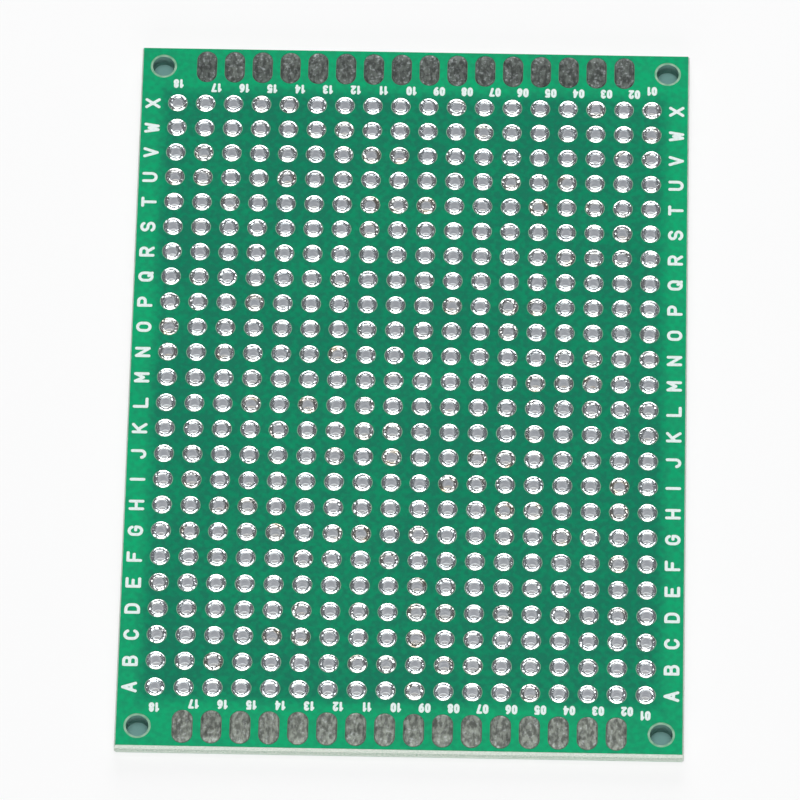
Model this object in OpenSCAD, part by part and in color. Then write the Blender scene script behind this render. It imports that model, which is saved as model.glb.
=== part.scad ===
// Double-sided prototype board, lying flat on its underside.
// The substrate, a drilled sheet of glass-epoxy laminate, carries a film of solder mask
// on each face, a grid of plated-through holes with tinned rims, a line of oblong
// surface pads along each short end, and four plain corner holes.
// X runs along the columns, Y along the rows, Z up. The origin is under the centre.

/* [Board] */
// Thickness of the bare laminate
laminate_t = 1.52; // [1.2:0.02:3.2]
// Thickness of the solder mask on each face
mask_t = 0.03; // [0.02:0.005:0.06]

/* [Scored edges] */
// Depth of the scoring cut in each face, along which the board was snapped off
score_depth = 0.5; // [0.1:0.05:0.7]
// Slope of the cut's side, measured from upright
score_angle = 15; // [5:1:25]

/* [Hole grid] */
// Columns of holes, along X
columns = 18; // [3:1:40]
// Rows of holes, along Y
rows = 24; // [2:1:52]
// Distance from one hole to the next, along X and along Y
pitch = 2.54; // [2.3:0.01:5.08]
// Distance from a long edge to the nearest column of holes
side_margin = 3.41; // [2:0.01:8]
// Distance from a short edge to the nearest row of holes
end_margin = 5.79; // [4.8:0.01:12]
// Bore of a plated hole
hole_d = 1.0; // [0.6:0.05:1.2]
// Wall of the metal barrel that lines a hole
plating_t = 0.07; // [0.03:0.005:0.1]
// Outer diameter of the metal rim round a hole
pad_d = 1.7; // [1.5:0.05:2.0]

/* [Tinned metal] */
// Thickness of the metal at the rim of a pad
rim_t = 0.04; // [0.03:0.005:0.08]
// Rise of the rounded solder from the rim of a pad to its crown
crown_h = 0.04; // [0.02:0.005:0.07]
// Radius of the knee where the rim of a hole rolls over into its bore
knee_r = 0.06; // [0.03:0.005:0.07]
// Bare laminate left between a pad and the solder mask round it
mask_gap = 0.05; // [0.03:0.005:0.1]

/* [End pads] */
// Width of an oblong pad along X
end_pad_w = 1.75; // [1.2:0.05:2.0]
// Length of an oblong pad along Y
end_pad_l = 3.1; // [2.4:0.05:3.4]
// Distance from the short edge to the middle of the oblong pads
end_pad_inset = 2.0; // [1.95:0.05:2.3]

/* [Corner holes] */
// Diameter of a corner hole
corner_hole_d = 2.0; // [1.5:0.1:2.6]
// Distance from both edges to the centre of a corner hole
corner_inset = 2.0; // [1.8:0.1:2.4]
// Width of the bare ring that the solder mask leaves round a corner hole
corner_ring = 0.2; // [0.1:0.05:0.4]

/* [Hidden] */
$fn = 48;
// Straight steps that a rounded crown is drawn with
CROWN_STEPS = 12;
laminate_colour = "#dfe6d2";
mask_colour = "#13915f";
metal_colour = "#b9bcc0";

// Width and length of the board: the grid of holes with its margins
board_w = (columns - 1) * pitch + 2 * side_margin;
board_l = (rows - 1) * pitch + 2 * end_margin;

// Heights, from the surface that the board lies on
pad_proud = rim_t + crown_h;
under_z = pad_proud;
top_z = under_z + laminate_t;

// How far the scoring cut takes each face back from the edge
score_w = score_depth * tan(score_angle);

ROW_NAMES = [for (j = [0:rows - 1]) str("plated_row_", row_letter(j))];

// a to z, then aa, ab and so on
function row_letter(j) = str(j < 26 ? "" : chr(96 + floor(j / 26)), chr(97 + j % 26));

function column_x(i) = (i - (columns - 1) / 2) * pitch;
function row_y(j) = (j - (rows - 1) / 2) * pitch;

// Radius and angle of the arc that rises by h over a chord w
function crown_r(w, h) = (w * w / 4 + h * h) / (2 * h);
function crown_angle(w, h) = 2 * asin(w / 2 / crown_r(w, h));

module along_row(j) {
    for (i = [0:columns - 1]) translate([column_x(i), row_y(j)]) children();
}

module at_grid() {
    for (j = [0:rows - 1]) along_row(j) children();
}

// Middles of the oblong pads of one end: every column but the outer two
module along_end(side) {
    y = side * (board_l / 2 - end_pad_inset);
    for (i = [1:columns - 2]) translate([column_x(i), y]) children();
}

module at_corners() {
    for (sx = [-1, 1], sy = [-1, 1])
        translate([sx * (board_w / 2 - corner_inset), sy * (board_l / 2 - corner_inset)]) children();
}

// Section across the board between two scored edges, its lower face on the axis
module scored_section(size) {
    edge = size / 2;
    face = edge - score_w;
    polygon([
        [-face, 0], [face, 0], [edge, score_depth], [edge, laminate_t - score_depth],
        [face, laminate_t], [-face, laminate_t], [-edge, laminate_t - score_depth], [-edge, score_depth]
    ]);
}

module drilled_outline() {
    difference() {
        square([board_w, board_l], center = true);
        at_grid() circle(d = hole_d + 2 * plating_t);
        at_corners() circle(d = corner_hole_d);
    }
}

module substrate() {
    color(laminate_colour) translate([0, 0, under_z]) intersection() {
        linear_extrude(laminate_t) drilled_outline();
        rotate([90, 0, 0]) linear_extrude(board_l, center = true) scored_section(board_w);
        rotate([90, 0, 90]) linear_extrude(board_w, center = true) scored_section(board_l);
    }
}

module oblong(w, l) {
    straight = l - w;
    square([w, straight], center = true);
    for (side = [-1, 1]) translate([0, side * straight / 2]) circle(d = w);
}

module mask_outline() {
    difference() {
        square([board_w - 2 * score_w, board_l - 2 * score_w], center = true);
        at_grid() circle(d = pad_d + 2 * mask_gap);
        for (side = [-1, 1]) along_end(side) oblong(end_pad_w + 2 * mask_gap, end_pad_l + 2 * mask_gap);
        at_corners() circle(d = corner_hole_d + 2 * corner_ring);
    }
}

module solder_mask(z) {
    color(mask_colour) translate([0, 0, z]) linear_extrude(mask_t) mask_outline();
}

// Height of the middle of the crown's arc above the foot of the metal
function crown_z(w) = pad_proud - crown_r(w, crown_h);

// Section of a layer of tinned metal w wide: upright sides with a rounded crown between them
module tinned_section(w) {
    sides = 4 * ceil(CROWN_STEPS / 4 * 360 / crown_angle(w, crown_h));
    intersection() {
        translate([-w / 2, 0]) square([w, pad_proud]);
        translate([0, crown_z(w)]) circle(crown_r(w, crown_h), $fn = sides);
    }
}

// Middle of the knee of a rim w wide, in the frame of tinned_section: knee_r inside its inner
// side and knee_r inside its crown
function knee_x(w) = knee_r - w / 2;
function knee_z(w) = crown_z(w) + sqrt(pow(crown_r(w, crown_h) - knee_r, 2) - pow(knee_x(w), 2));

// The corner of a rim w wide that its knee takes the place of
module knee_corner(w) {
    middle = [knee_x(w), knee_z(w)];
    outwards = [knee_x(w), knee_z(w) - crown_z(w)] / (crown_r(w, crown_h) - knee_r);
    polygon([
        middle, middle + 2 * knee_r * outwards,
        middle + 2 * knee_r * [-1, 1], middle - 2 * knee_r * [1, 0]
    ]);
}

// Draws a rim w wide at the upper end of a hole, and turned over at its lower end
module at_both_ends(w) {
    translate([hole_d / 2 + w / 2, top_z]) children();
    translate([hole_d / 2 + w / 2, under_z]) mirror([0, 1]) children();
}

// Section of one plated hole, from the axis outwards: the barrel with a rim at each end,
// which rolls over a knee into the bore
module plated_section() {
    rim_w = (pad_d - hole_d) / 2;
    difference() {
        union() {
            at_both_ends(rim_w) tinned_section(rim_w);
            translate([hole_d / 2, under_z - rim_t]) square([plating_t, laminate_t + 2 * rim_t]);
        }
        at_both_ends(rim_w) knee_corner(rim_w);
    }
    at_both_ends(rim_w) intersection() {
        translate([knee_x(rim_w), knee_z(rim_w)]) circle(knee_r);
        knee_corner(rim_w);
    }
}

module plated_row(j) {
    color(metal_colour) along_row(j) rotate_extrude() plated_section();
}

// One oblong surface pad, its underside on the laminate
module end_pad() {
    straight = end_pad_l - end_pad_w;
    rotate([90, 0, 0]) linear_extrude(straight, center = true) tinned_section(end_pad_w);
    for (side = [-1, 1]) translate([0, side * straight / 2]) rotate_extrude() intersection() {
        tinned_section(end_pad_w);
        square([end_pad_w / 2, pad_proud]);
    }
}

module end_pads_top(side) {
    color(metal_colour) along_end(side) translate([0, 0, top_z]) end_pad();
}

module end_pads_bottom(side) {
    color(metal_colour) along_end(side) translate([0, 0, under_z]) mirror([0, 0, 1]) end_pad();
}

substrate();
solder_mask(top_z);  // solder_mask_top
solder_mask(under_z - mask_t);  // solder_mask_bottom
for (j = [0:rows - 1])
    plated_row(j);
end_pads_top(-1);  // end_pads_top_front
end_pads_top(1);  // end_pads_top_back
end_pads_bottom(-1);  // end_pads_bottom_front
end_pads_bottom(1);  // end_pads_bottom_back
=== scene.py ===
"""Dresses a packed prototype board: finishes for its laminate, solder mask and tinned
metal, the printed legend of both faces, and a plain studio to photograph it in.

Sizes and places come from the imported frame, in metres. Materials work in millimetres
of object space, so that a grain or a weave is given at its real size.
"""

from math import atan2, cos, pi, radians, sin

import bmesh
import bpy
from bpy.props import FloatProperty, FloatVectorProperty, PointerProperty
from mathutils import Matrix, Vector


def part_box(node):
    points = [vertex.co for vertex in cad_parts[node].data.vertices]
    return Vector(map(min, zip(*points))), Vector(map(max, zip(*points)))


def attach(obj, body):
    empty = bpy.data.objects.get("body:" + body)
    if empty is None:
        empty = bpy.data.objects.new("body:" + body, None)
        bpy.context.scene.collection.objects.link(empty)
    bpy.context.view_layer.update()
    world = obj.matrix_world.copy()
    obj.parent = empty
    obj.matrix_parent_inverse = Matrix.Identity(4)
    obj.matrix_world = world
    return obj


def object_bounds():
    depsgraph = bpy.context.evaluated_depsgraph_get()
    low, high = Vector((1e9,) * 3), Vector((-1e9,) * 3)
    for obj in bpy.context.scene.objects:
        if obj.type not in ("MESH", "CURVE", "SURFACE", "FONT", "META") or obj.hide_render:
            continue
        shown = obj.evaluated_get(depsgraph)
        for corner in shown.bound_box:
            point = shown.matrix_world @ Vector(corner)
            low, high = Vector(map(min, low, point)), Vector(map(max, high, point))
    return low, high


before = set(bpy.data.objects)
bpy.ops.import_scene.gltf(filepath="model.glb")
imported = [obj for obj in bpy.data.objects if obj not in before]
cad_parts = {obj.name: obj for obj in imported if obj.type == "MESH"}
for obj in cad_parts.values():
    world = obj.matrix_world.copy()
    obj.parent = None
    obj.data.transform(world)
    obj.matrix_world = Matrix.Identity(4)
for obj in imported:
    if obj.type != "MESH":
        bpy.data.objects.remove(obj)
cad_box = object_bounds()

bl_info = {
    "name": "Prototype Board",
    "version": (1, 0, 0),
    "blender": (4, 5, 0),
    "location": "View3D > Sidebar > Board",
    "description": "Finishes, printed legend and studio for a drilled prototype board",
    "category": "Object",
}

MM = 0.001
BODY = "root"

# Sizes that the finishes follow, in millimetres
SCORE_DEPTH = 0.5  # of the scored cut in each face of the laminate
EDGE_BAND = 0.4  # strip along the outline that the snapped edges lie in
PLY = 0.19  # thickness of one ply of the laminate
GRID_SHADE_FADE = (2.2, 0.4)  # from the outer holes: where the mask is at its palest, and where its painted shade between the holes is full
BARREL_SHADE_FADE = (0.12, 0.30)  # below a rim's crown: where the barrel's painted shade begins, and is full
RIM_ROUNDING = 0.07  # radius that the edges of the rims look rounded to
PAD_ROUNDING = 0.12  # radius that the edges of the end pads look rounded to

PIT_COLOUR = (0.02, 0.02, 0.02)  # dark streaks and stains of the end pads
ROOM_COLOUR = (0.93, 0.97, 1.0)
CAMERA_SHIFT = (-0.0095, -0.003)  # across and up, as shares of the picture's side

# Place and size of each soft lamp, in metres
LAMPS = {
    "overhead": ((0, -0.104, 0.844), (0.50, 0.64)),
    "back": ((0, 0.713, 0.363), (0.50, 0.55)),
    "front": ((0, -0.9, 0.35), (0.9, 0.4)),
}

SUBSTRATE_NODE = "substrate"
MASK_NODES = ["solder_mask_top", "solder_mask_bottom"]
ROW_NODES = sorted(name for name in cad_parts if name.startswith("plated_row_"))
END_PAD_NODES = sorted(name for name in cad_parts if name.startswith("end_pads_"))


def row_letter(node):
    return node.rsplit("_", 1)[1].upper()


class HoleGrid:
    """Places of the plated holes, read from the boxes of the rows that the frame holds."""

    def __init__(self):
        boxes = [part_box(name) for name in ROW_NODES]
        rim_radius = (boxes[0][1].y - boxes[0][0].y) / 2
        self.rows = [(low.y + high.y) / 2 for low, high in boxes]
        self.pitch = self.rows[1] - self.rows[0]
        first = boxes[0][0].x + rim_radius
        last = boxes[0][1].x - rim_radius
        self.columns = [first + i * self.pitch for i in range(round((last - first) / self.pitch) + 1)]


GRID = HoleGrid()


# Settings that a user would change

class BoardLegendSettings(bpy.types.PropertyGroup):
    """Sizes of the white printing."""

    letter_height: FloatProperty(
        name="Letter Height", description="Height of a row letter",
        default=1.4 * MM, min=0.5 * MM, max=3 * MM, precision=5, unit="LENGTH")
    letter_width: FloatProperty(
        name="Letter Width", description="Width of a row letter",
        default=1.03 * MM, min=0.4 * MM, max=2 * MM, precision=5, unit="LENGTH")
    letter_stroke: FloatProperty(
        name="Letter Stroke", description="Width of the line that a row letter is drawn with",
        default=0.285 * MM, min=0.1 * MM, max=0.5 * MM, precision=5, unit="LENGTH")
    letter_inset: FloatProperty(
        name="Letter Inset", description="Distance from a long edge to the middle of the row letters",
        default=1.15 * MM, min=0.8 * MM, max=2 * MM, precision=5, unit="LENGTH")
    letter_shift: FloatProperty(
        name="Letter Shift",
        description="Distance of a row letter from the middle of its row, toward the front",
        default=0.09 * MM, min=0, max=0.5 * MM, precision=5, unit="LENGTH")
    digit_height: FloatProperty(
        name="Digit Height", description="Height of a digit of a column number",
        default=0.92 * MM, min=0.4 * MM, max=1.5 * MM, precision=5, unit="LENGTH")
    digit_width: FloatProperty(
        name="Digit Width", description="Width of a digit of a column number",
        default=0.51 * MM, min=0.2 * MM, max=1 * MM, precision=5, unit="LENGTH")
    digit_stroke: FloatProperty(
        name="Digit Stroke", description="Width of the line that a digit is drawn with",
        default=0.235 * MM, min=0.08 * MM, max=0.3 * MM, precision=5, unit="LENGTH")
    digit_gap: FloatProperty(
        name="Digit Gap", description="Gap between the two digits of a column number",
        default=0.04 * MM, min=0, max=0.3 * MM, precision=6, unit="LENGTH")
    one_share: FloatProperty(
        name="One Share", description="Room that a digit 1 takes, as a share of the room of the other digits",
        default=0.74, min=0.4, max=1)
    number_inset: FloatProperty(
        name="Number Inset",
        description="Distance from a short edge to the middle of the inner column numbers",
        default=4.17 * MM, min=3.6 * MM, max=5 * MM, precision=5, unit="LENGTH")
    number_shift: FloatProperty(
        name="Number Shift", description="Distance of an inner column number from its column",
        default=0.93 * MM, min=0, max=1.27 * MM, precision=5, unit="LENGTH")
    end_number_inset: FloatProperty(
        name="End Number Inset",
        description="Distance from a short edge to the middle of the outer column numbers",
        default=3.8 * MM, min=3 * MM, max=5 * MM, precision=5, unit="LENGTH")
    ink_thickness: FloatProperty(
        name="Ink Thickness", description="Thickness of the printed ink",
        default=0.015 * MM, min=0.005 * MM, max=0.03 * MM, precision=6, unit="LENGTH")


class BoardFinishSettings(bpy.types.PropertyGroup):
    """Colours of the board's materials."""

    mask_colour: FloatVectorProperty(
        name="Mask", description="Solder mask of the margins, lit through by the laminate under it",
        default=(0.0, 0.425, 0.170), min=0, max=1, subtype="COLOR")
    # The margin colour is the mask's own; this deeper colour between the holes is painted shade.
    mask_grid_shade_colour: FloatVectorProperty(
        name="Deep Mask",
        description="Solder mask between the holes, where their barrels keep light out of the laminate",
        default=(0.0, 0.183, 0.100), min=0, max=1, subtype="COLOR")
    laminate_colour: FloatVectorProperty(
        name="Laminate", description="Bare face of the laminate",
        default=(0.16, 0.40, 0.24), min=0, max=1, subtype="COLOR")
    # Painted shade: the laminate in the narrow gaps round the end pads is darkened as if in their shadow.
    pad_gap_shade_colour: FloatVectorProperty(
        name="Residue", description="Flux residue in the narrow gaps round the end pads",
        default=(0.10, 0.16, 0.12), min=0, max=1, subtype="COLOR")
    # Painted shade: the drilled walls are darkened to stand for the shade inside the holes.
    drilled_wall_shade_colour: FloatVectorProperty(
        name="Drilled Wall", description="Walls of the holes drilled through the laminate",
        default=(0.17, 0.33, 0.29), min=0, max=1, subtype="COLOR")
    snapped_colour: FloatVectorProperty(
        name="Snapped Edge", description="Torn glass fibres along the snapped edges",
        default=(0.84, 0.88, 0.80), min=0, max=1, subtype="COLOR")
    tin_colour: FloatVectorProperty(
        name="Tin", description="Bright tin of the plated holes",
        default=(0.83, 0.88, 0.91), min=0, max=1, subtype="COLOR")
    # Painted shade: the tin inside the holes is darkened for the shade that falls in them.
    barrel_shade_colour: FloatVectorProperty(
        name="Barrel", description="Duller tin inside the plated holes",
        default=(0.31, 0.33, 0.36), min=0, max=1, subtype="COLOR")
    flux_colour: FloatVectorProperty(
        name="Flux", description="Stain left on the tin by flux",
        default=(0.50, 0.43, 0.33), min=0, max=1, subtype="COLOR")
    # Painted reflection: the end pads' tin is darkened as if mirroring dark surroundings, darker toward the
    # back than the front.
    back_tin_reflection_colour: FloatVectorProperty(
        name="Dull Tin", description="Levelled tin of the end pads, at its dullest toward the back",
        default=(0.130, 0.148, 0.136), min=0, max=1, subtype="COLOR")
    front_tin_reflection_colour: FloatVectorProperty(
        name="Pale Tin", description="Levelled tin of the end pads, at its palest toward the front",
        default=(0.290, 0.315, 0.275), min=0, max=1, subtype="COLOR")
    ink_colour: FloatVectorProperty(
        name="Legend Ink", description="Printed letters and numbers",
        default=(0.82, 0.93, 0.90), min=0, max=1, subtype="COLOR")


class BoardStageSettings(bpy.types.PropertyGroup):
    """Camera, lamps and floor."""

    camera_distance: FloatProperty(
        name="Camera Distance", description="From the camera to the middle of the board",
        default=0.7445, min=0.1, max=3, unit="LENGTH")
    camera_elevation: FloatProperty(
        name="Camera Elevation", description="Height of the camera above the horizon",
        default=radians(63.5), min=0, max=radians(90), subtype="ANGLE")
    camera_azimuth: FloatProperty(
        name="Camera Azimuth", description="Turn of the camera round the board, from straight in front",
        default=radians(2.1), min=-pi, max=pi, subtype="ANGLE")
    camera_roll: FloatProperty(
        name="Camera Roll", description="Turn of the camera about its own line of sight",
        default=radians(-0.9), min=-pi, max=pi, subtype="ANGLE")
    lens: FloatProperty(
        name="Lens", description="Focal length of the camera",
        default=0.374, min=0.02, max=1, subtype="DISTANCE_CAMERA")
    floor_size: FloatProperty(
        name="Floor Size", description="Side of the square floor",
        default=6, min=0.5, max=20, unit="LENGTH")
    floor_colour: FloatVectorProperty(
        name="Floor", description="Colour of the floor",
        default=(0.94, 0.94, 0.94), min=0, max=1, subtype="COLOR")
    # Painted shade: a dark floor under the board's margins, seen through the corner holes.
    under_board_shade_colour: FloatVectorProperty(
        name="Under Board",
        description="Colour of the floor under the board's margins, seen through its corner holes",
        default=(0.27, 0.50, 0.47), min=0, max=1, subtype="COLOR")
    overhead_power: FloatProperty(
        name="Overhead Lamp", description="Power of the soft lamp above the board",
        default=3.8, min=0, max=100, subtype="POWER")
    back_power: FloatProperty(
        name="Back Lamp", description="Power of the soft lamp behind the board",
        default=3.8, min=0, max=100, subtype="POWER")
    front_power: FloatProperty(
        name="Front Lamp", description="Power of the soft lamp in front of the board",
        default=3.8, min=0, max=100, subtype="POWER")
    world_level: FloatProperty(
        name="World Level", description="Brightness of the room round the board",
        default=0.13, min=0, max=2)
    horizon_level: FloatProperty(
        name="Horizon Level", description="Brightness of the room toward the horizon, as metal mirrors it",
        default=0.65, min=0, max=2)


# Strokes of the legend's characters, on a grid 4 wide and 6 high

def arc(centre, radii, start, end):
    """Points along a stretch of an ellipse, angles in degrees, a point every 22.5 degrees or less."""
    steps = max(2, round(abs(end - start) / 22.5))
    turns = [radians(start + (end - start) * i / steps) for i in range(steps + 1)]
    return [(centre[0] + radii[0] * cos(t), centre[1] + radii[1] * sin(t)) for t in turns]


STEM = [(0, 0), (0, 6)]
RING = arc((2, 4), (2, 2), 0, 180) + arc((2, 2), (2, 2), 180, 360) + [(4, 4)]

CHARACTERS = {
    "A": [[(0, 0), (2, 6), (4, 0)], [(0.7, 2), (3.3, 2)]],
    "B": [[(2.4, 3.2), (0, 3.2)],
          [(0, 0), (0, 6)] + arc((2.3, 4.6), (1.4, 1.4), 90, -90)
          + arc((2.4, 1.6), (1.6, 1.6), 90, -90) + [(0, 0)]],
    "C": [arc((2, 4), (2, 2), 20, 180) + arc((2, 2), (2, 2), 180, 340)],
    "D": [[(0, 0), (0, 6)] + arc((1.8, 3.8), (2.2, 2.2), 90, 0)
          + arc((1.8, 2.2), (2.2, 2.2), 0, -90) + [(0, 0)]],
    "E": [[(4, 6), (0, 6), (0, 0), (4, 0)], [(0, 3.1), (3.2, 3.1)]],
    "F": [[(4, 6), (0, 6), (0, 0)], [(0, 3.1), (3.2, 3.1)]],
    "G": [arc((2, 4), (2, 2), 20, 180) + arc((2, 2), (2, 2), 180, 360) + [(4, 2.9), (2.4, 2.9)]],
    "H": [STEM, [(4, 0), (4, 6)], [(0, 3.1), (4, 3.1)]],
    "I": [[(2, 0), (2, 6)]],
    "J": [[(3.6, 6)] + arc((1.8, 1.8), (1.8, 1.8), 0, -170)],
    "K": [STEM, [(4, 6), (0, 2.4)], [(1.4, 3.7), (4, 0)]],
    "L": [[(0, 6), (0, 0), (4, 0)]],
    "M": [[(0, 0), (0, 6), (2, 2.2), (4, 6), (4, 0)]],
    "N": [[(0, 0), (0, 6), (4, 0), (4, 6)]],
    "O": [RING],
    "P": [[(0, 0), (0, 6)] + arc((2.4, 4.4), (1.6, 1.6), 90, -90) + [(0, 2.8)]],
    "Q": [RING, [(2.5, 1.6), (4, 0)]],
    "R": [[(0, 0), (0, 6)] + arc((2.4, 4.4), (1.6, 1.6), 90, -90) + [(0, 2.8)], [(2, 2.8), (4, 0)]],
    "S": [arc((2, 4.5), (1.9, 1.5), 20, 270) + arc((2, 1.5), (2, 1.5), 90, -160)],
    "T": [[(0, 6), (4, 6)], [(2, 6), (2, 0)]],
    "U": [[(0, 6)] + arc((2, 2), (2, 2), 180, 360) + [(4, 6)]],
    "V": [[(0, 6), (2, 0), (4, 6)]],
    "W": [[(0, 6), (1, 0), (2, 4.4), (3, 0), (4, 6)]],
    "X": [[(0, 0), (4, 6)], [(0, 6), (4, 0)]],
    "0": [RING],
    "1": [[(0.8, 4.6), (2.4, 6), (2.4, 0)]],
    "2": [arc((2, 4.1), (1.9, 1.9), 165, -35) + [(0, 0), (4, 0)]],
    "3": [arc((2, 4.5), (1.8, 1.5), 150, -90) + arc((2, 1.5), (2, 1.5), 90, -150)],
    "4": [[(3, 0), (3, 6), (0, 1.8), (4, 1.8)]],
    "5": [[(3.8, 6), (0.5, 6), (0.2, 3.2)] + arc((2, 1.95), (2, 1.95), 130, -150)],
    "6": [arc((3.6, 2.2), (3.6, 3.8), 100, 180), arc((2, 1.9), (2, 1.9), 0, 360)],
    "7": [[(0, 6), (4, 6), (1.4, 0)]],
    "8": [arc((2, 4.5), (1.6, 1.5), 0, 360), arc((2, 1.5), (2, 1.5), 0, 360)],
    "9": [arc((0.4, 3.8), (3.6, 3.8), -80, 0), arc((2, 4.1), (2, 1.9), 0, 360)],
}
CHARACTER_GRID = (4, 6)
END_STEPS = 12  # sides of the disc that rounds the ends of a stroke


def ink_bar(bm, start, end, width, thickness):
    """One straight pass of ink with round ends: a disc pulled apart at its middle, then thickened."""
    span = end - start
    half_step = Matrix.Rotation(pi / END_STEPS, 4, "Z")
    disc = bmesh.ops.create_circle(bm, cap_ends=True, segments=END_STEPS, radius=width / 2, matrix=half_step)
    verts = disc["verts"]
    bmesh.ops.translate(bm, verts=[v for v in verts if v.co.x > 0], vec=(span.length, 0, 0))
    place = Matrix.Translation(start) @ Matrix.Rotation(atan2(span.y, span.x), 4, "Z")
    bmesh.ops.transform(bm, verts=verts, matrix=place)
    raised = bmesh.ops.extrude_face_region(bm, geom=[verts[0].link_faces[0]])
    bmesh.ops.translate(bm, verts=[v for v in raised["geom"] if isinstance(v, bmesh.types.BMVert)],
                        vec=(0, 0, thickness))


def character_bars(character, width, height, stroke, thickness):
    """Mesh of one character's bars, centred on the origin and lying on z = 0, in millimetres.

    width and height are to the outside of its strokes."""
    across = (width - stroke) / CHARACTER_GRID[0]
    up = (height - stroke) / CHARACTER_GRID[1]
    bm = bmesh.new()
    for line in CHARACTERS[character]:
        points = [Vector(((x - CHARACTER_GRID[0] / 2) * across, (y - CHARACTER_GRID[1] / 2) * up, 0))
                  for x, y in line]
        for start, end in zip(points, points[1:]):
            ink_bar(bm, start, end, stroke, thickness)
    bmesh.ops.recalc_face_normals(bm, faces=bm.faces)
    mesh = bpy.data.meshes.new(character)
    bm.to_mesh(mesh)
    bm.free()
    return mesh


def lighten(mesh):
    """Joins the fragments that a union leaves in flat faces and along straight edges."""
    bm = bmesh.new()
    bm.from_mesh(mesh)
    bmesh.ops.dissolve_limit(bm, angle_limit=radians(1), verts=bm.verts, edges=bm.edges)
    bm.to_mesh(mesh)
    bm.free()


def fused_characters(characters, width, height, stroke, thickness):
    """One closed mesh for each character, its bars joined into one skin, by character."""
    holders = {}
    for character in characters:
        mesh = character_bars(character, width, height, stroke, thickness)
        holder = bpy.data.objects.new(character, mesh)
        union = holder.modifiers.new("Union", "BOOLEAN")
        union.operation = "UNION"
        union.operand_type = "COLLECTION"
        union.solver = "EXACT"
        union.use_self = True
        bpy.context.scene.collection.objects.link(holder)
        holders[character] = holder
    depsgraph = bpy.context.evaluated_depsgraph_get()
    fused = {}
    for character, holder in holders.items():
        fused[character] = bpy.data.meshes.new_from_object(holder.evaluated_get(depsgraph))
    for mesh in fused.values():
        lighten(mesh)
    for holder in holders.values():
        bars = holder.data
        bpy.data.objects.remove(holder)
        bpy.data.meshes.remove(bars)
    return fused


# Shader nodes

def add_node(tree, kind, inputs=None, **settings):
    """Adds a node, sets its properties, and fills its inputs from values or from other nodes' outputs."""
    node = tree.nodes.new(kind)
    for name, value in settings.items():
        setattr(node, name, value)
    for name, value in (inputs or {}).items():
        if isinstance(value, bpy.types.NodeSocket):
            tree.links.new(value, node.inputs[name])
        else:
            node.inputs[name].default_value = value
    return node


def calculate(tree, operation, *values):
    return add_node(tree, "ShaderNodeMath", dict(enumerate(values)), operation=operation).outputs[0]


def vector_math(tree, operation, first, second):
    return add_node(tree, "ShaderNodeVectorMath", {0: first, 1: second}, operation=operation).outputs[0]


def mix_colours(tree, factor, first, second):
    """Sockets 6 and 7 of a Mix node, and output 2, are the ones for colours."""
    inputs = {0: factor, 6: opaque(first), 7: opaque(second)}
    return add_node(tree, "ShaderNodeMix", inputs, data_type="RGBA").outputs[2]


def mix_values(tree, factor, first, second):
    return add_node(tree, "ShaderNodeMix", {0: factor, 2: first, 3: second}).outputs[0]


def opaque(colour):
    """A colour setting with its alpha added; a socket is passed on as it is."""
    return colour if isinstance(colour, bpy.types.NodeSocket) else (*colour, 1)


def ramp(tree, value, low, high):
    """0 at low and 1 at high, with a smooth step between; low may be the larger of the two."""
    node = add_node(tree, "ShaderNodeMapRange", {0: value, 1: low, 2: high}, interpolation_type="SMOOTHSTEP")
    return node.outputs[0]


def bump(tree, height, depth, below=None):
    """Normal of a surface whose height runs over depth, in metres."""
    inputs = {"Height": height, "Distance": depth, "Strength": 1.0}
    if below:
        inputs["Normal"] = below
    return add_node(tree, "ShaderNodeBump", inputs).outputs[0]


def millimetres(tree):
    """Place on the object, in millimetres."""
    place = add_node(tree, "ShaderNodeTexCoord").outputs["Object"]
    return add_node(tree, "ShaderNodeMapping", {"Vector": place, "Scale": (1 / MM,) * 3}).outputs[0]


def axis(tree, place, name):
    return add_node(tree, "ShaderNodeSeparateXYZ", {0: place}).outputs[name]


def product_of(tree, first, *others):
    for value in others:
        first = calculate(tree, "MULTIPLY", first, value)
    return first


def weighted_sum(tree, *shares):
    """Sum of the values in these pairs of a value and its weight."""
    total = product_of(tree, *shares[0])
    for value, weight in shares[1:]:
        total = calculate(tree, "ADD", total, product_of(tree, value, weight))
    return total


def outside_plan(tree, place, low, high):
    """Distance of a place outside the rectangle from low to high, seen from above; negative inside it."""
    beyond = []
    for i, side in enumerate("XY"):
        off_middle = calculate(tree, "SUBTRACT", axis(tree, place, side), (low[i] + high[i]) / 2)
        off_middle = calculate(tree, "ABSOLUTE", off_middle)
        beyond.append(calculate(tree, "SUBTRACT", off_middle, (high[i] - low[i]) / 2))
    return calculate(tree, "MAXIMUM", *beyond)


def noise(tree, place, scale, detail=2.0, stretch=None):
    """Soft noise with that many features to a millimetre."""
    if stretch:
        place = add_node(tree, "ShaderNodeMapping", {"Vector": place, "Scale": stretch}).outputs[0]
    inputs = {"Vector": place, "Scale": scale, "Detail": detail}
    return add_node(tree, "ShaderNodeTexNoise", inputs).outputs[0]


def new_group(name, inputs, outputs):
    """An empty shader node group with the sockets named, and its two end nodes."""
    group = bpy.data.node_groups.new(name, "ShaderNodeTree")
    for socket, value in inputs.items():
        kind = "NodeSocketVector" if value is None else "NodeSocketFloat"
        made = group.interface.new_socket(name=socket, in_out="INPUT", socket_type=kind)
        if value is not None:
            made.default_value = value
    for socket in outputs:
        group.interface.new_socket(name=socket, in_out="OUTPUT", socket_type="NodeSocketFloat")
    return group, group.nodes.new("NodeGroupInput"), group.nodes.new("NodeGroupOutput")


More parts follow.
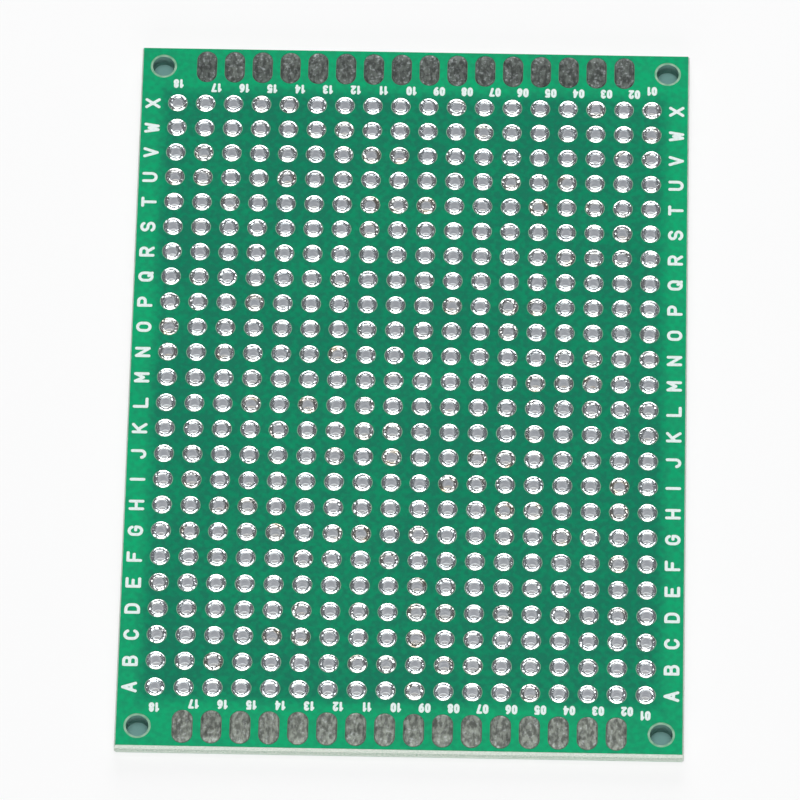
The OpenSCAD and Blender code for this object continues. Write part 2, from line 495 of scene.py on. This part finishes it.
def glass_weave_group():
    """Plain weave of glass yarn: warp and weft rise in turn, like a soft chequer."""
    name = "Glass Weave"
    if name in bpy.data.node_groups:
        return bpy.data.node_groups[name]
    group, start, end = new_group(name, {"Place": None, "Yarns per mm": 1.9}, ["Height"])
    waves = []
    for side in "XY":
        wander = product_of(group, noise(group, start.outputs["Place"], 0.35, 1.0), 0.9)
        along = calculate(group, "ADD", axis(group, start.outputs["Place"], side), wander)
        turn = product_of(group, along, start.outputs["Yarns per mm"], pi)
        waves.append(calculate(group, "SINE", turn))
    height = calculate(group, "MULTIPLY_ADD", product_of(group, *waves), 0.5, 0.5)
    group.links.new(height, end.inputs["Height"])
    return group


def tin_skin_group():
    """Tin as it froze: slow lumps, a fine grain, and stains where flux dried."""
    name = "Tin Skin"
    if name in bpy.data.node_groups:
        return bpy.data.node_groups[name]
    group, start, end = new_group(
        name, {"Place": None, "Lumps per mm": 1.4, "Stain": 0.5}, ["Lumps", "Grain", "Stains"])
    place = start.outputs["Place"]
    lumps = noise(group, place, start.outputs["Lumps per mm"], 1.5)
    grain = noise(group, place, 9.0, 3.0)
    blotches = noise(group, place, 0.75, 4.0)
    edge = calculate(group, "SUBTRACT", 1.0, start.outputs["Stain"])
    stains = ramp(group, blotches, product_of(group, edge, 0.8), 0.8)
    group.links.new(lumps, end.inputs["Lumps"])
    group.links.new(grain, end.inputs["Grain"])
    group.links.new(stains, end.inputs["Stains"])
    return group


def hole_chance_group():
    """A chance value from 0 to 1 for each square of the hole grid, which is carried on over the board."""
    name = "Hole Chance"
    if name in bpy.data.node_groups:
        return bpy.data.node_groups[name]
    group, start, end = new_group(name, {"Place": None}, ["Chance"])
    corner = (GRID.columns[0] - GRID.pitch / 2, GRID.rows[0] - GRID.pitch / 2, 0)
    from_corner = vector_math(group, "SUBTRACT", start.outputs["Place"], Vector(corner) / MM)
    square = vector_math(group, "SNAP", from_corner, (GRID.pitch / MM,) * 3)
    chance = add_node(group, "ShaderNodeTexWhiteNoise", {"Vector": square}).outputs["Value"]
    group.links.new(chance, end.inputs["Chance"])
    return group


def use_group(tree, group, inputs):
    return add_node(tree, "ShaderNodeGroup", inputs, node_tree=group).outputs


def new_material(name, **constants):
    """A material with a Principled shader, and that shader's constant inputs set."""
    material = bpy.data.materials.new(name)
    material.use_nodes = True
    shader = material.node_tree.nodes["Principled BSDF"]
    for socket, value in constants.items():
        shader.inputs[socket.replace("_", " ")].default_value = value
    return material, material.node_tree, shader


def connect(tree, shader, **sockets):
    for socket, value in sockets.items():
        tree.links.new(value, shader.inputs[socket.replace("_", " ")])


def paint(objects, material):
    """Gives each object that one material, whatever slots it came with."""
    for piece in objects:
        piece.data.materials.clear()
        piece.data.materials.append(material)


def solder_mask_material(colours):
    """Green film over woven laminate: mottled, with a slight orange peel, and deeper between the holes with
    painted shade.
    """
    material, tree, shader = new_material(
        "solder_mask", Coat_Weight=0.12, Coat_Roughness=0.1, Specular_IOR_Level=0.15)
    place = millimetres(tree)
    weave = use_group(tree, glass_weave_group(), {"Place": place})["Height"]
    mottle = ramp(tree, noise(tree, place, 2.0, 4.0), 0.35, 0.65)
    cloud = ramp(tree, noise(tree, place, 0.12, 2.0), 0.3, 0.7)
    outside = outside_plan(tree, place, Vector((GRID.columns[0], GRID.rows[0])) / MM,
                           Vector((GRID.columns[-1], GRID.rows[-1])) / MM)
    # Mottle, cloud and weave vary the film's own tone; the ramp toward the hole grid adds painted shade
    # between the holes.
    thickness_and_grid_shade = weighted_sum(tree, (mottle, 0.28), (cloud, 0.18), (weave, 0.10),
                         (ramp(tree, outside, *GRID_SHADE_FADE), 0.6))
    colour = mix_colours(tree, thickness_and_grid_shade, colours.mask_colour, colours.mask_grid_shade_colour)
    roughness = mix_values(tree, mottle, 0.30, 0.42)
    normal = bump(tree, weave, 0.003 * MM)
    normal = bump(tree, noise(tree, place, 2.5, 3.0), 0.008 * MM, normal)
    connect(tree, shader, Base_Color=colour, Roughness=roughness, Normal=normal)
    return material


def laminate_material(colours, low, high):
    """Glass-epoxy sheet: woven faces, smooth scored bevels, a torn, fibrous band where it was snapped, walls
    of its drilled holes darkened as painted shade, and painted shade in the narrow gaps round the end pads."""
    material, tree, shader = new_material("laminate", IOR=1.5)
    place = millimetres(tree)
    off_middle = calculate(tree, "SUBTRACT", axis(tree, place, "Z"), (low.z + high.z) / 2 / MM)
    off_middle = calculate(tree, "ABSOLUTE", off_middle)
    outer = calculate(tree, "GREATER_THAN", outside_plan(tree, place, low / MM, high / MM), -EDGE_BAND)
    half_thickness = (high.z - low.z) / 2 / MM
    face = ramp(tree, off_middle, half_thickness - 0.025, half_thickness - 0.005)
    scored = ramp(tree, off_middle, half_thickness - SCORE_DEPTH - 0.01, half_thickness - SCORE_DEPTH + 0.02)
    weave = use_group(tree, glass_weave_group(), {"Place": place})["Height"]
    fibres = noise(tree, place, 6.0, 4.0, stretch=(1, 1, 3))
    plies = calculate(tree, "SINE", product_of(tree, axis(tree, place, "Z"), 2 * pi / PLY))
    bare, pale = colours.laminate_colour, colours.snapped_colour
    face_colour = mix_colours(tree, product_of(tree, weave, 0.25), bare, pale)
    # Painted shade over the laminate's faces in the narrow gaps round the end pads.
    half_pitch = GRID.pitch / 2 / MM
    pad_columns = outside_plan(tree, place, Vector((GRID.columns[1], low.y)) / MM,
                               Vector((GRID.columns[-2], high.y)) / MM)
    hole_rows = outside_plan(tree, place, Vector((low.x, GRID.rows[0])) / MM,
                             Vector((high.x, GRID.rows[-1])) / MM)
    shaded_pad_gaps = product_of(tree, calculate(tree, "LESS_THAN", pad_columns, half_pitch),
                            calculate(tree, "GREATER_THAN", hole_rows, half_pitch))
    face_colour = mix_colours(tree, shaded_pad_gaps, face_colour, colours.pad_gap_shade_colour)
    torn = calculate(tree, "MULTIPLY_ADD", plies, 0.12, fibres)
    torn_colour = mix_colours(tree, ramp(tree, torn, 0.25, 0.6), bare, pale)
    edge_colour = mix_colours(tree, product_of(tree, scored, 0.5), torn_colour, pale)
    # Drilled walls take their painted shade colour.
    edge_colour = mix_colours(tree, outer, colours.drilled_wall_shade_colour, edge_colour)
    colour = mix_colours(tree, face, edge_colour, face_colour)
    roughness = mix_values(tree, face, mix_values(tree, scored, 0.85, 0.6), 0.45)
    relief = product_of(tree, fibres, calculate(tree, "SUBTRACT", 1.0, scored))
    normal = bump(tree, relief, 0.12 * MM)
    normal = bump(tree, product_of(tree, weave, face), 0.004 * MM, normal)
    connect(tree, shader, Base_Color=colour, Roughness=roughness, Normal=normal)
    return material


def plated_hole_material(colours):
    """Bright, lumpy tin on the rims, with a little dried flux, and tin darkened inside the barrels as painted
    shade.
    """
    material, tree, shader = new_material("plated_holes", Metallic=1.0)
    place = millimetres(tree)
    skin = use_group(tree, tin_skin_group(), {"Place": place, "Lumps per mm": 1.5, "Stain": 0.45})
    chance = use_group(tree, hole_chance_group(), {"Place": place})["Chance"]
    depth_of_stains = mix_values(tree, ramp(tree, chance, 0.6, 1.0), 0.4, 1.0)
    stained = weighted_sum(tree, (skin["Stains"], depth_of_stains), (ramp(tree, chance, 0.7, 1.0), 0.3))
    colour = mix_colours(tree, stained, colours.tin_colour, colours.flux_colour)
    # Painted shade: the tin darkens below the rims' crowns, down into the barrels.
    depth = calculate(tree, "SUBTRACT", axis(tree, place, "Z"), (cad_box[0].z + cad_box[1].z) / 2 / MM)
    reach = (cad_box[1].z - cad_box[0].z) / 2 / MM
    inside = ramp(tree, calculate(tree, "ABSOLUTE", depth), reach - BARREL_SHADE_FADE[0], reach - BARREL_SHADE_FADE[1])
    colour = mix_colours(tree, inside, colour, colours.barrel_shade_colour)
    roughness = mix_values(tree, skin["Grain"], 0.08, 0.24)
    rounded = add_node(tree, "ShaderNodeBevel", {"Radius": RIM_ROUNDING * MM}, samples=4).outputs[0]
    uneven = mix_values(tree, chance, 0.05 * MM, 0.13 * MM)
    normal = bump(tree, skin["Lumps"], uneven, rounded)
    normal = bump(tree, skin["Grain"], 0.004 * MM, normal)
    connect(tree, shader, Base_Color=colour, Roughness=roughness, Normal=normal)
    return material


def end_pad_material(colours):
    """Levelled tin with a painted dark reflection, darker toward the back; speckled with brighter tin and
    painted glints, with dark streaks and a slight grain along the pad.
    """
    material, tree, shader = new_material("end_pads", Metallic=0.9)
    place = millimetres(tree)
    skin = use_group(tree, tin_skin_group(), {"Place": place, "Lumps per mm": 1.2, "Stain": 0.6})
    streaks = noise(tree, place, 3.0, 4.0, stretch=(1, 0.5, 1))
    # Speckles of brighter tin, partly painted glints.
    speckles_and_glints = ramp(tree, noise(tree, place, 4.0, 3.0), 0.52, 0.72)
    # Painted reflection: paler toward the front, darker toward the back, with a random tone for each square.
    front_reflection_and_tone = ramp(tree, axis(tree, place, "Y"), cad_box[1].y / MM, cad_box[0].y / MM)
    chance = use_group(tree, hole_chance_group(), {"Place": place})["Chance"]
    front_reflection_and_tone = calculate(tree, "ADD", front_reflection_and_tone, mix_values(tree, chance, -0.2, 0.2))
    shade = mix_colours(tree, front_reflection_and_tone, colours.back_tin_reflection_colour, colours.front_tin_reflection_colour)
    shade = mix_colours(tree, product_of(tree, speckles_and_glints, 0.30), shade, colours.tin_colour)
    pitted = weighted_sum(tree, (ramp(tree, streaks, 0.62, 0.38), 0.55), (skin["Stains"], 0.2))
    colour = mix_colours(tree, pitted, shade, PIT_COLOUR)
    roughness = mix_values(tree, streaks, 0.30, 0.50)
    rounded = add_node(tree, "ShaderNodeBevel", {"Radius": PAD_ROUNDING * MM}, samples=4).outputs[0]
    normal = bump(tree, skin["Lumps"], 0.04 * MM, rounded)
    normal = bump(tree, skin["Grain"], 0.006 * MM, normal)
    connect(tree, shader, Base_Color=colour, Roughness=roughness, Normal=normal)
    return material


def legend_ink_material(colours):
    """White screen-printed ink, a little uneven where the screen's mesh laid it thin."""
    material, tree, shader = new_material("legend_ink", Roughness=0.55, IOR=1.5)
    place = millimetres(tree)
    mesh = noise(tree, place, 7.0, 3.0)
    thin = tuple(0.82 * c for c in colours.ink_colour)
    colour = mix_colours(tree, ramp(tree, mesh, 0.45, 0.8), colours.ink_colour, thin)
    connect(tree, shader, Base_Color=colour, Normal=bump(tree, mesh, 0.006 * MM))
    return material


# The printed legend

def label_place(x, y, z, turn, underside):
    """Place of a label drawn in millimetres, turned by turn and read from above or from below the board."""
    over = Matrix.Rotation(pi, 4, "Y") if underside else Matrix.Identity(4)
    return Matrix.Translation((x, y, z)) @ over @ Matrix.Rotation(turn, 4, "Z") @ Matrix.Scale(MM, 4)


def add_label(bm, text, characters, rooms, place):
    """Adds a text of these character meshes, each in the middle of its own room, centred on its place."""
    reached = -sum(rooms[character] for character in text) / 2
    for character in text:
        known = len(bm.verts)
        bm.from_mesh(characters[character])
        bm.verts.ensure_lookup_table()
        along = Matrix.Translation((reached + rooms[character] / 2, 0, 0))
        bmesh.ops.transform(bm, verts=bm.verts[known:], matrix=place @ along)
        reached += rooms[character]


def print_legend(name, legend, letters, digits, material, underside):
    """Row letters along both long edges and column numbers along both short ends of one face."""
    mask_low, mask_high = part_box("solder_mask_bottom" if underside else "solder_mask_top")
    face_z = mask_low.z if underside else mask_high.z
    low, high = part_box(SUBSTRATE_NODE)
    rooms = dict.fromkeys([*letters, *digits], (legend.digit_width + legend.digit_gap) / MM)
    rooms["1"] *= legend.one_share
    bm = bmesh.new()
    for node, y in zip(ROW_NODES, GRID.rows):
        for x in (low.x + legend.letter_inset, high.x - legend.letter_inset):
            place = label_place(x, y - legend.letter_shift, face_z, pi / 2, underside)
            add_label(bm, row_letter(node), letters, rooms, place)
    outer = (GRID.columns[0], GRID.columns[-1])
    for number, x in enumerate(reversed(GRID.columns), start=1):
        inset = legend.end_number_inset if x in outer else legend.number_inset
        shift = 0 if x in outer else legend.number_shift * (-1 if underside else 1)
        for y in (low.y + inset, high.y - inset):
            add_label(bm, f"{number:02d}", digits, rooms, label_place(x + shift, y, face_z, pi, underside))
    mesh = bpy.data.meshes.new(name)
    bm.to_mesh(mesh)
    bm.free()
    mesh.materials.append(material)
    piece = bpy.data.objects.new(name, mesh)
    bpy.context.scene.collection.objects.link(piece)
    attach(piece, BODY)


# Operators

class BOARD_OT_finish_laminate(bpy.types.Operator):
    """Gives the laminate its woven faces and snapped edges"""

    bl_idname = "board.finish_laminate"
    bl_label = "Finish Laminate"

    def execute(self, context):
        low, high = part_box(SUBSTRATE_NODE)
        paint([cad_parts[SUBSTRATE_NODE]], laminate_material(context.scene.board_finish, low, high))
        return {"FINISHED"}


class BOARD_OT_finish_solder_mask(bpy.types.Operator):
    """Gives both films of solder mask their green"""

    bl_idname = "board.finish_solder_mask"
    bl_label = "Finish Solder Mask"

    def execute(self, context):
        paint([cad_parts[name] for name in MASK_NODES], solder_mask_material(context.scene.board_finish))
        return {"FINISHED"}


class BOARD_OT_finish_plated_holes(bpy.types.Operator):
    """Tins the rims and barrels of every row of holes"""

    bl_idname = "board.finish_plated_holes"
    bl_label = "Finish Plated Holes"

    def execute(self, context):
        paint([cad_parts[name] for name in ROW_NODES], plated_hole_material(context.scene.board_finish))
        return {"FINISHED"}


class BOARD_OT_finish_end_pads(bpy.types.Operator):
    """Gives the oblong pads of both ends their tin, darkened by a painted reflection"""

    bl_idname = "board.finish_end_pads"
    bl_label = "Finish End Pads"

    def execute(self, context):
        paint([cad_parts[name] for name in END_PAD_NODES], end_pad_material(context.scene.board_finish))
        return {"FINISHED"}


class BOARD_OT_print_legend(bpy.types.Operator):
    """Prints the row letters and column numbers on both faces"""

    bl_idname = "board.print_legend"
    bl_label = "Print Legend"

    def execute(self, context):
        legend = context.scene.board_legend
        ink = legend_ink_material(context.scene.board_finish)
        thickness = legend.ink_thickness / MM
        letters = fused_characters(sorted(map(row_letter, ROW_NODES)), legend.letter_width / MM,
                                   legend.letter_height / MM, legend.letter_stroke / MM, thickness)
        digits = fused_characters("0123456789", legend.digit_width / MM,
                                  legend.digit_height / MM, legend.digit_stroke / MM, thickness)
        print_legend("legend_top", legend, letters, digits, ink, underside=False)
        print_legend("legend_bottom", legend, letters, digits, ink, underside=True)
        for mesh in (*letters.values(), *digits.values()):
            bpy.data.meshes.remove(mesh)
        return {"FINISHED"}


def add_lamp(name, place, aim, size, power):
    """A soft rectangular lamp at place, turned to aim and unseen by the camera."""
    data = bpy.data.lights.new(name, "AREA")
    data.shape = "RECTANGLE"
    data.size, data.size_y = size
    data.energy = power
    lamp = bpy.data.objects.new(name, data)
    lamp.location = place
    lamp.rotation_euler = (Vector(aim) - Vector(place)).to_track_quat("-Z", "Y").to_euler()
    lamp.visible_camera = False
    bpy.context.scene.collection.objects.link(lamp)


def floor_material(colour, shade_colour):
    """Pale matt floor. Beside the board it is lifted toward white for the camera and darker as metal mirrors
    it, a painted shade in reflections; under the hole grid it glows as metal mirrors it, a painted
    reflection; under the margins it is dark, a painted shade."""
    material, tree, shader = new_material("floor", Roughness=0.9, Specular_IOR_Level=0.0)
    place = add_node(tree, "ShaderNodeTexCoord").outputs["Object"]
    reach_under_board = 0.8 * MM
    beside = calculate(tree, "GREATER_THAN", outside_plan(tree, place, *cad_box), -reach_under_board)
    past_grid = outside_plan(tree, place, (GRID.columns[0], GRID.rows[0]), (GRID.columns[-1], GRID.rows[-1]))
    under_grid = calculate(tree, "LESS_THAN", past_grid, GRID.pitch / 2)
    rays = add_node(tree, "ShaderNodeLightPath").outputs
    mirrored = rays["Is Glossy Ray"]
    seen = calculate(tree, "MAXIMUM", rays["Is Camera Ray"], rays["Is Transmission Ray"])
    under_margins = calculate(tree, "SUBTRACT", 1.0, calculate(tree, "MAXIMUM", beside, under_grid))
    # Painted shade under the margins, and in what metal mirrors beside the board.
    dark = calculate(tree, "MAXIMUM", product_of(tree, beside, mirrored, 0.7), under_margins)
    connect(tree, shader, Base_Color=mix_colours(tree, dark, colour, shade_colour))
    # White lift for the camera beside the board; under the hole grid, a painted glow that metal mirrors.
    lift = calculate(tree, "MAXIMUM", product_of(tree, seen, beside, 0.7),
                     product_of(tree, mirrored, under_grid, 0.9))
    glow = add_node(tree, "ShaderNodeEmission", {"Color": (1, 1, 1, 1), "Strength": 1.0}).outputs[0]
    lifted = add_node(tree, "ShaderNodeMixShader", {0: lift, 1: shader.outputs[0], 2: glow}).outputs[0]
    tree.links.new(lifted, tree.nodes["Material Output"].inputs["Surface"])
    return material


def room_world(level, horizon_level):
    """Light of the room round the board, which metal mirrors brighter toward the horizon."""
    world = bpy.data.worlds.new("room")
    world.use_nodes = True
    tree = world.node_tree
    background = tree.nodes["Background"]
    background.inputs["Color"].default_value = opaque(ROOM_COLOUR)
    direction = add_node(tree, "ShaderNodeTexCoord").outputs["Generated"]
    near_horizon = ramp(tree, axis(tree, direction, "Z"), 0.60, 0.25)
    mirrored = add_node(tree, "ShaderNodeLightPath").outputs["Is Glossy Ray"]
    strength = mix_values(tree, product_of(tree, near_horizon, mirrored), level, horizon_level)
    tree.links.new(strength, background.inputs["Strength"])
    return world


class BOARD_OT_build_stage(bpy.types.Operator):
    """Adds the floor, the lamps, the room's light and the camera"""

    bl_idname = "board.build_stage"
    bl_label = "Build Stage"

    def execute(self, context):
        stage = context.scene.board_stage
        bm = bmesh.new()
        bmesh.ops.create_grid(bm, x_segments=1, y_segments=1, size=stage.floor_size / 2)
        mesh = bpy.data.meshes.new("floor")
        bm.to_mesh(mesh)
        bm.free()
        mesh.materials.append(floor_material(stage.floor_colour, stage.under_board_shade_colour))
        floor = bpy.data.objects.new("floor", mesh)
        context.scene.collection.objects.link(floor)

        middle = (cad_box[0] + cad_box[1]) / 2
        powers = {"overhead": stage.overhead_power, "back": stage.back_power, "front": stage.front_power}
        for name, (place, size) in LAMPS.items():
            add_lamp(name, place, middle, size, powers[name])

        context.scene.world = room_world(stage.world_level, stage.horizon_level)
        context.scene.view_settings.view_transform = "Standard"

        data = bpy.data.cameras.new("camera")
        data.lens = stage.lens / MM
        data.shift_x, data.shift_y = CAMERA_SHIFT
        data.clip_start = 0.01
        data.clip_end = 20
        camera = bpy.data.objects.new("camera", data)
        rise, side = stage.camera_elevation, stage.camera_azimuth
        back = Vector((sin(side) * cos(rise), -cos(side) * cos(rise), sin(rise)))
        camera.location = middle + back * stage.camera_distance
        roll = Matrix.Rotation(stage.camera_roll, 4, "Z")
        camera.rotation_euler = ((-back).to_track_quat("-Z", "Y").to_matrix().to_4x4() @ roll).to_euler()
        context.scene.collection.objects.link(camera)
        context.scene.camera = camera
        return {"FINISHED"}


class VIEW3D_PT_prototype_board(bpy.types.Panel):
    """Steps and settings of the board"""

    bl_label = "Prototype Board"
    bl_space_type = "VIEW_3D"
    bl_region_type = "UI"
    bl_category = "Board"

    def draw(self, context):
        layout = self.layout
        for step in STEPS:
            layout.operator(step.bl_idname)
        scene = context.scene
        groups = {"Legend": scene.board_legend, "Finish": scene.board_finish, "Stage": scene.board_stage}
        for title, settings in groups.items():
            box = layout.box()
            box.label(text=title)
            for name in settings.__annotations__:
                box.prop(settings, name)


STEPS = (
    BOARD_OT_finish_laminate,
    BOARD_OT_finish_solder_mask,
    BOARD_OT_finish_plated_holes,
    BOARD_OT_finish_end_pads,
    BOARD_OT_print_legend,
    BOARD_OT_build_stage,
)
CLASSES = (BoardLegendSettings, BoardFinishSettings, BoardStageSettings, *STEPS, VIEW3D_PT_prototype_board)


def register():
    for cls in CLASSES:
        bpy.utils.register_class(cls)
    bpy.types.Scene.board_legend = PointerProperty(type=BoardLegendSettings)
    bpy.types.Scene.board_finish = PointerProperty(type=BoardFinishSettings)
    bpy.types.Scene.board_stage = PointerProperty(type=BoardStageSettings)


def unregister():
    del bpy.types.Scene.board_legend
    del bpy.types.Scene.board_finish
    del bpy.types.Scene.board_stage
    for cls in reversed(CLASSES):
        bpy.utils.unregister_class(cls)


def main():
    register()
    bpy.ops.board.finish_laminate()
    bpy.ops.board.finish_solder_mask()
    bpy.ops.board.finish_plated_holes()
    bpy.ops.board.finish_end_pads()
    bpy.ops.board.print_legend()
    bpy.ops.board.build_stage()


if __name__ == "__main__":
    main()
